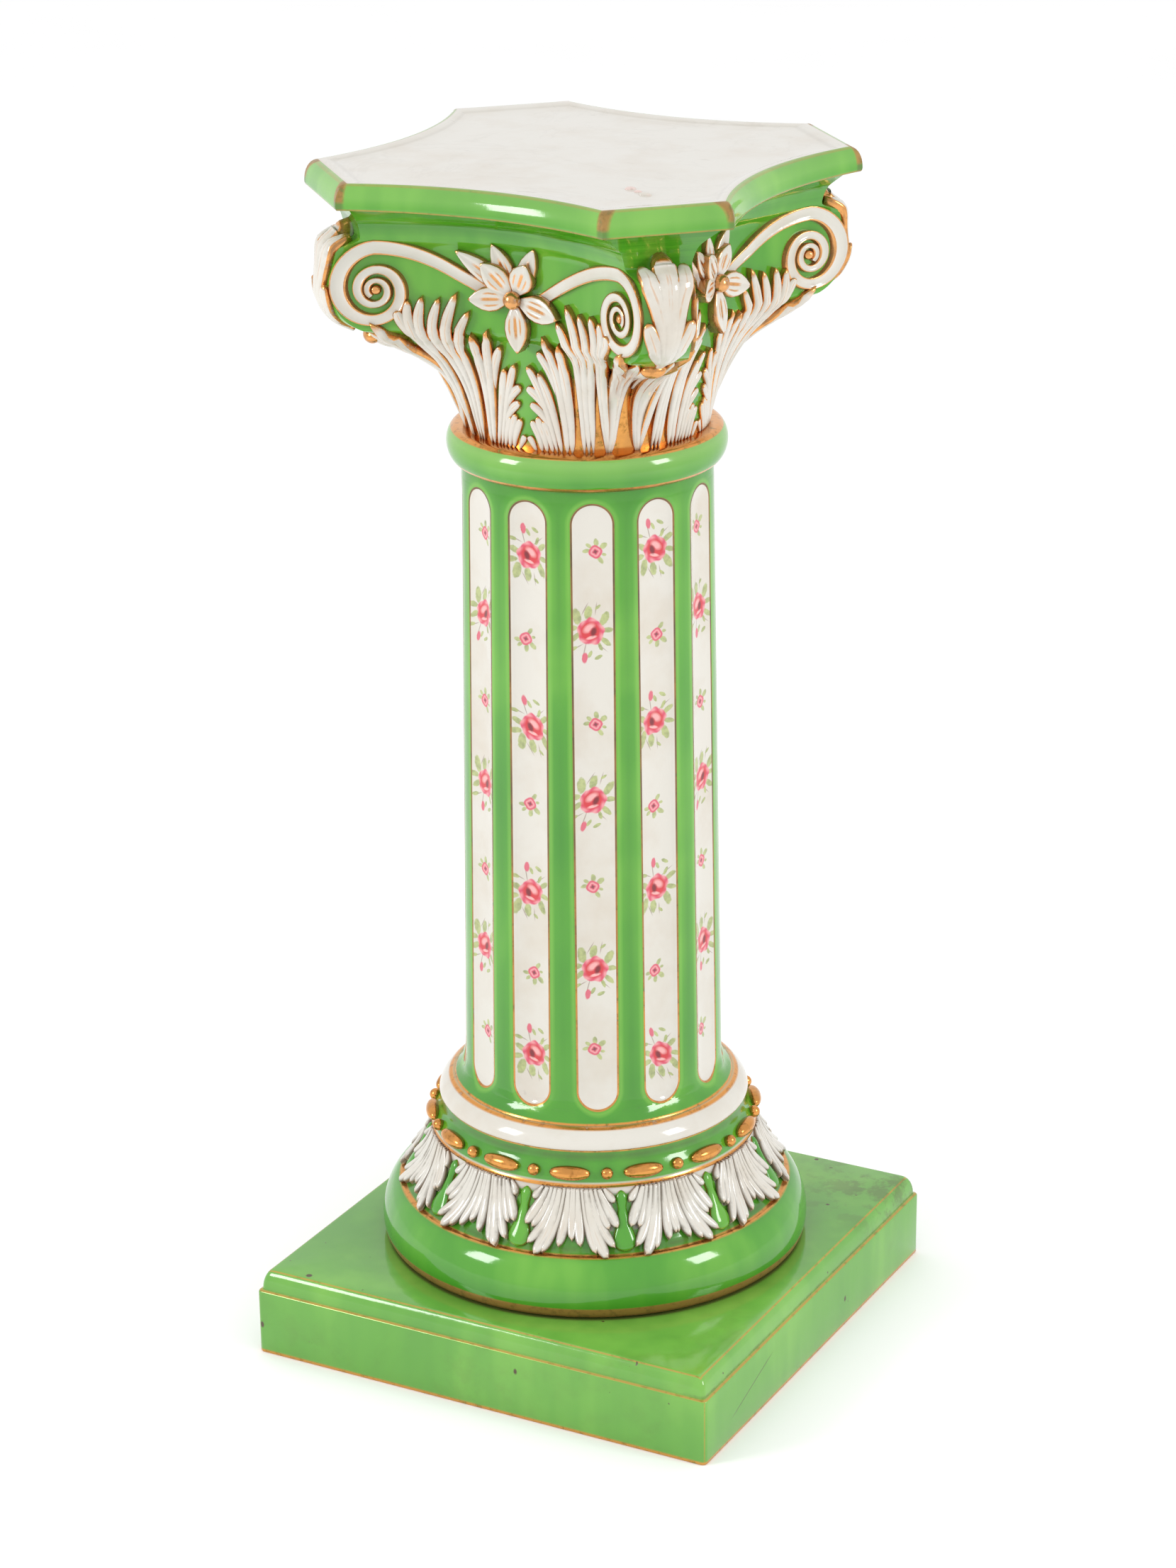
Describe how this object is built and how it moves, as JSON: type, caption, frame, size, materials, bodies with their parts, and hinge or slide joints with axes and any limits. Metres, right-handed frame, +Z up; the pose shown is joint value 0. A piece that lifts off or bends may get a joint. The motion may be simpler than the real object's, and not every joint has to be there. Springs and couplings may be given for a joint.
{
  "type": "pedestal",
  "caption": "Glazed earthenware column pedestal: square plinth and a fluted column with a leaf collar, beaded band and a leafy volute capital with a flat concave-sided top",
  "frame": {"origin": "centre of the plinth's underside, on the floor", "axes": "+Z up the column's axis; -Y and +X are the two plinth faces seen in the picture, -Y to the left"},
  "size_m": [0.3362, 0.3362, 0.8],
  "materials": {
    "plinth": "mottled apple green glaze, glossy, with worn gilt lines",
    "column": "apple green and cream white glaze, glossy, with gilt lines and printed rose sprigs"
  },
  "bodies": {
    "root": {"plinth": "plinth", "column": "column"}
  },
  "joints": []
}
